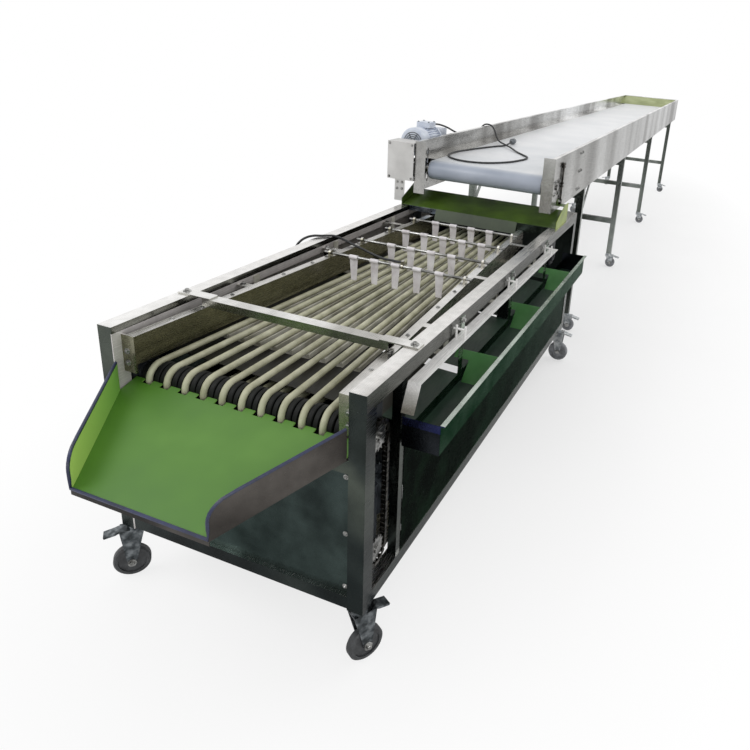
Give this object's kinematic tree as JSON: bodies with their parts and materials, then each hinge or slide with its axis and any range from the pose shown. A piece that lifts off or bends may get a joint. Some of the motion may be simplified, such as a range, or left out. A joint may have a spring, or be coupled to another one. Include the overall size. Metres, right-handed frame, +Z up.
{
  "type": "fruit grading machine",
  "caption": "Stainless fruit grader on casters with diverging round belts, a green discharge chute, a side trough and a long flat-belt feed conveyor",
  "frame": {"origin": "on the floor, under the middle of the box round the whole machine", "axes": "+Z up; +Y along the machine from the discharge chute towards the infeed end of the conveyor; +X to the side with the trough"},
  "size_m": [1.0923, 9.146, 1.2809],
  "materials": {
    "stainless": "polished stainless tube and sheet",
    "panel": "dull blue-grey sheet",
    "green_pvc": "smooth green soft sheet",
    "round_belt": "pale round belt",
    "black_plastic": "black moulded plastic",
    "bright_steel": "turned steel",
    "bearing_iron": "painted casting",
    "chain_steel": "oiled steel",
    "motor_paint": "blue-grey enamel",
    "strip_pvc": "milky soft strip",
    "white_belt": "smooth white belt",
    "guard_paint": "light grey powder coat",
    "pale_liner": "pale green soft sheet",
    "cable_black": "matt black sheath",
    "plug_grey": "grey moulded plug",
    "fork_zinc": "zinc-plated pressing",
    "wheel_rubber": "dark wheel"
  },
  "bodies": {
    "machine": {"grader_frame": "stainless", "skirt_panels": "panel", "chute_shell": "stainless", "chute_lining": "green_pvc", "cross_bar": "stainless", "guide_boards": "stainless", "sorting_belts": "round_belt", "belt_supports": "stainless", "bearing_units": "bearing_iron", "drive_chain": "chain_steel", "grader_gearmotor": "motor_paint", "collecting_trays": "green_pvc", "side_trough": "stainless", "guard_strip": "stainless", "transfer_chute": "green_pvc", "conveyor_frame": "stainless", "conveyor_legs": "stainless", "conveyor_belt": "white_belt", "feed_gearmotor": "motor_paint", "feed_chain_loop": "chain_steel", "drive_guard": "guard_paint", "hopper_liner": "pale_liner", "motor_lead": "cable_black", "lead_plug": "plug_grey", "curtain_cable": "cable_black"},
    "drive_line": {"drive_shaft": "bright_steel", "drive_pulleys": "black_plastic"},
    "rear_roller": {"rear_roller": "black_plastic"},
    "motor_sprocket": {"motor_sprocket": "bright_steel"},
    "head_drum": {"head_drum": "bright_steel"},
    "tail_drum": {"tail_drum": "bright_steel"},
    "feed_sprocket": {"feed_sprocket": "bright_steel"},
    "curtain_1": {"curtain_row_1": "strip_pvc"},
    "curtain_2": {"curtain_row_2": "strip_pvc"},
    "curtain_3": {"curtain_row_3": "strip_pvc"},
    "curtain_4": {"curtain_row_4": "strip_pvc"},
    "grader_fork_1": {"grader_fork_1": "fork_zinc"},
    "grader_wheel_1": {"grader_wheel_1": "wheel_rubber"},
    "grader_fork_2": {"grader_fork_2": "fork_zinc"},
    "grader_wheel_2": {"grader_wheel_2": "wheel_rubber"},
    "grader_fork_3": {"grader_fork_3": "fork_zinc"},
    "grader_wheel_3": {"grader_wheel_3": "wheel_rubber"},
    "grader_fork_4": {"grader_fork_4": "fork_zinc"},
    "grader_wheel_4": {"grader_wheel_4": "wheel_rubber"},
    "feed_fork_1": {"feed_fork_1": "fork_zinc"},
    "feed_wheel_1": {"feed_wheel_1": "wheel_rubber"},
    "feed_fork_2": {"feed_fork_2": "fork_zinc"},
    "feed_wheel_2": {"feed_wheel_2": "wheel_rubber"},
    "feed_fork_3": {"feed_fork_3": "fork_zinc"},
    "feed_wheel_3": {"feed_wheel_3": "wheel_rubber"},
    "feed_fork_4": {"feed_fork_4": "fork_zinc"},
    "feed_wheel_4": {"feed_wheel_4": "wheel_rubber"},
    "feed_fork_5": {"feed_fork_5": "fork_zinc"},
    "feed_wheel_5": {"feed_wheel_5": "wheel_rubber"},
    "feed_fork_6": {"feed_fork_6": "fork_zinc"},
    "feed_wheel_6": {"feed_wheel_6": "wheel_rubber"},
    "feed_fork_7": {"feed_fork_7": "fork_zinc"},
    "feed_wheel_7": {"feed_wheel_7": "wheel_rubber"},
    "feed_fork_8": {"feed_fork_8": "fork_zinc"},
    "feed_wheel_8": {"feed_wheel_8": "wheel_rubber"}
  },
  "joints": [
    {"name": "drive_shaft_spin", "type": "hinge", "parent": "machine", "child": "drive_line", "pos_m": [-0.01115, -4.157, 0.697], "axis": [1, 0, 0], "continuous": true},
    {"name": "rear_roller_spin", "type": "hinge", "parent": "machine", "child": "rear_roller", "pos_m": [-0.01115, -2.287, 0.714], "axis": [1, 0, 0], "continuous": true},
    {"name": "motor_sprocket_spin", "type": "hinge", "parent": "machine", "child": "motor_sprocket", "pos_m": [0.38385, -4.157, 0.3286], "axis": [1, 0, 0], "continuous": true},
    {"name": "head_drum_spin", "type": "hinge", "parent": "machine", "child": "head_drum", "pos_m": [-0.01115, -2.301, 1.0667], "axis": [1, 0, 0], "continuous": true},
    {"name": "tail_drum_spin", "type": "hinge", "parent": "machine", "child": "tail_drum", "pos_m": [-0.01115, 4.483, 1.0667], "axis": [1, 0, 0], "continuous": true},
    {"name": "feed_sprocket_spin", "type": "hinge", "parent": "machine", "child": "feed_sprocket", "pos_m": [-0.41115, -1.931, 1.0667], "axis": [1, 0, 0], "continuous": true},
    {"name": "curtain_1_swing", "type": "hinge", "parent": "machine", "child": "curtain_1", "pos_m": [-0.01115, -3.287, 0.8615], "axis": [-1, 0, 0], "range_deg": [-20, 70]},
    {"name": "curtain_2_swing", "type": "hinge", "parent": "machine", "child": "curtain_2", "pos_m": [-0.01115, -3.054, 0.8615], "axis": [-1, 0, 0], "range_deg": [-20, 70]},
    {"name": "curtain_3_swing", "type": "hinge", "parent": "machine", "child": "curtain_3", "pos_m": [-0.01115, -2.821, 0.8615], "axis": [-1, 0, 0], "range_deg": [-20, 70]},
    {"name": "curtain_4_swing", "type": "hinge", "parent": "machine", "child": "curtain_4", "pos_m": [-0.01115, -2.588, 0.8615], "axis": [-1, 0, 0], "range_deg": [-20, 70]},
    {"name": "grader_fork_1_swivel", "type": "hinge", "parent": "machine", "child": "grader_fork_1", "pos_m": [-0.41615, -4.242, 0.19], "axis": [0, 0, 1], "continuous": true},
    {"name": "grader_wheel_1_roll", "type": "hinge", "parent": "grader_fork_1", "child": "grader_wheel_1", "pos_m": [-0.43029, -4.25614, 0.055], "axis": [0.7071, -0.7071, 0], "continuous": true},
    {"name": "grader_fork_2_swivel", "type": "hinge", "parent": "machine", "child": "grader_fork_2", "pos_m": [0.39385, -4.242, 0.19], "axis": [0, 0, 1], "continuous": true},
    {"name": "grader_wheel_2_roll", "type": "hinge", "parent": "grader_fork_2", "child": "grader_wheel_2", "pos_m": [0.40385, -4.22468, 0.055], "axis": [-0.866, 0.5, 0], "continuous": true},
    {"name": "grader_fork_3_swivel", "type": "hinge", "parent": "machine", "child": "grader_fork_3", "pos_m": [-0.41615, -1.992, 0.19], "axis": [0, 0, 1], "continuous": true},
    {"name": "grader_wheel_3_roll", "type": "hinge", "parent": "grader_fork_3", "child": "grader_wheel_3", "pos_m": [-0.43615, -1.992, 0.055], "axis": [0, -1, 0], "continuous": true},
    {"name": "grader_fork_4_swivel", "type": "hinge", "parent": "machine", "child": "grader_fork_4", "pos_m": [0.39385, -1.992, 0.19], "axis": [0, 0, 1], "continuous": true},
    {"name": "grader_wheel_4_roll", "type": "hinge", "parent": "grader_fork_4", "child": "grader_wheel_4", "pos_m": [0.41385, -1.992, 0.055], "axis": [0, 1, 0], "continuous": true},
    {"name": "feed_fork_1_swivel", "type": "hinge", "parent": "machine", "child": "feed_fork_1", "pos_m": [-0.36415, -1.527, 0.115], "axis": [0, 0, 1], "continuous": true},
    {"name": "feed_wheel_1_roll", "type": "hinge", "parent": "feed_fork_1", "child": "feed_wheel_1", "pos_m": [-0.38415, -1.527, 0.04], "axis": [0, -1, 0], "continuous": true},
    {"name": "feed_fork_2_swivel", "type": "hinge", "parent": "machine", "child": "feed_fork_2", "pos_m": [0.34185, -1.527, 0.115], "axis": [0, 0, 1], "continuous": true},
    {"name": "feed_wheel_2_roll", "type": "hinge", "parent": "feed_fork_2", "child": "feed_wheel_2", "pos_m": [0.36185, -1.527, 0.04], "axis": [0, 1, 0], "continuous": true},
    {"name": "feed_fork_3_swivel", "type": "hinge", "parent": "machine", "child": "feed_fork_3", "pos_m": [-0.36415, 0.043, 0.115], "axis": [0, 0, 1], "continuous": true},
    {"name": "feed_wheel_3_roll", "type": "hinge", "parent": "feed_fork_3", "child": "feed_wheel_3", "pos_m": [-0.38415, 0.043, 0.04], "axis": [0, -1, 0], "continuous": true},
    {"name": "feed_fork_4_swivel", "type": "hinge", "parent": "machine", "child": "feed_fork_4", "pos_m": [0.34185, 0.043, 0.115], "axis": [0, 0, 1], "continuous": true},
    {"name": "feed_wheel_4_roll", "type": "hinge", "parent": "feed_fork_4", "child": "feed_wheel_4", "pos_m": [0.36185, 0.043, 0.04], "axis": [0, 1, 0], "continuous": true},
    {"name": "feed_fork_5_swivel", "type": "hinge", "parent": "machine", "child": "feed_fork_5", "pos_m": [-0.36415, 1.893, 0.115], "axis": [0, 0, 1], "continuous": true},
    {"name": "feed_wheel_5_roll", "type": "hinge", "parent": "feed_fork_5", "child": "feed_wheel_5", "pos_m": [-0.38415, 1.893, 0.04], "axis": [0, -1, 0], "continuous": true},
    {"name": "feed_fork_6_swivel", "type": "hinge", "parent": "machine", "child": "feed_fork_6", "pos_m": [0.34185, 1.893, 0.115], "axis": [0, 0, 1], "continuous": true},
    {"name": "feed_wheel_6_roll", "type": "hinge", "parent": "feed_fork_6", "child": "feed_wheel_6", "pos_m": [0.36185, 1.893, 0.04], "axis": [0, 1, 0], "continuous": true},
    {"name": "feed_fork_7_swivel", "type": "hinge", "parent": "machine", "child": "feed_fork_7", "pos_m": [-0.36415, 3.983, 0.115], "axis": [0, 0, 1], "continuous": true},
    {"name": "feed_wheel_7_roll", "type": "hinge", "parent": "feed_fork_7", "child": "feed_wheel_7", "pos_m": [-0.38415, 3.983, 0.04], "axis": [0, -1, 0], "continuous": true},
    {"name": "feed_fork_8_swivel", "type": "hinge", "parent": "machine", "child": "feed_fork_8", "pos_m": [0.34185, 3.983, 0.115], "axis": [0, 0, 1], "continuous": true},
    {"name": "feed_wheel_8_roll", "type": "hinge", "parent": "feed_fork_8", "child": "feed_wheel_8", "pos_m": [0.36185, 3.983, 0.04], "axis": [0, 1, 0], "continuous": true}
  ],
  "couplings": [
    {"joint": "rear_roller_spin", "follows": "drive_shaft_spin", "ratio": 1},
    {"joint": "motor_sprocket_spin", "follows": "drive_shaft_spin", "ratio": 1},
    {"joint": "tail_drum_spin", "follows": "head_drum_spin", "ratio": 1},
    {"joint": "feed_sprocket_spin", "follows": "head_drum_spin", "ratio": 1}
  ]
}
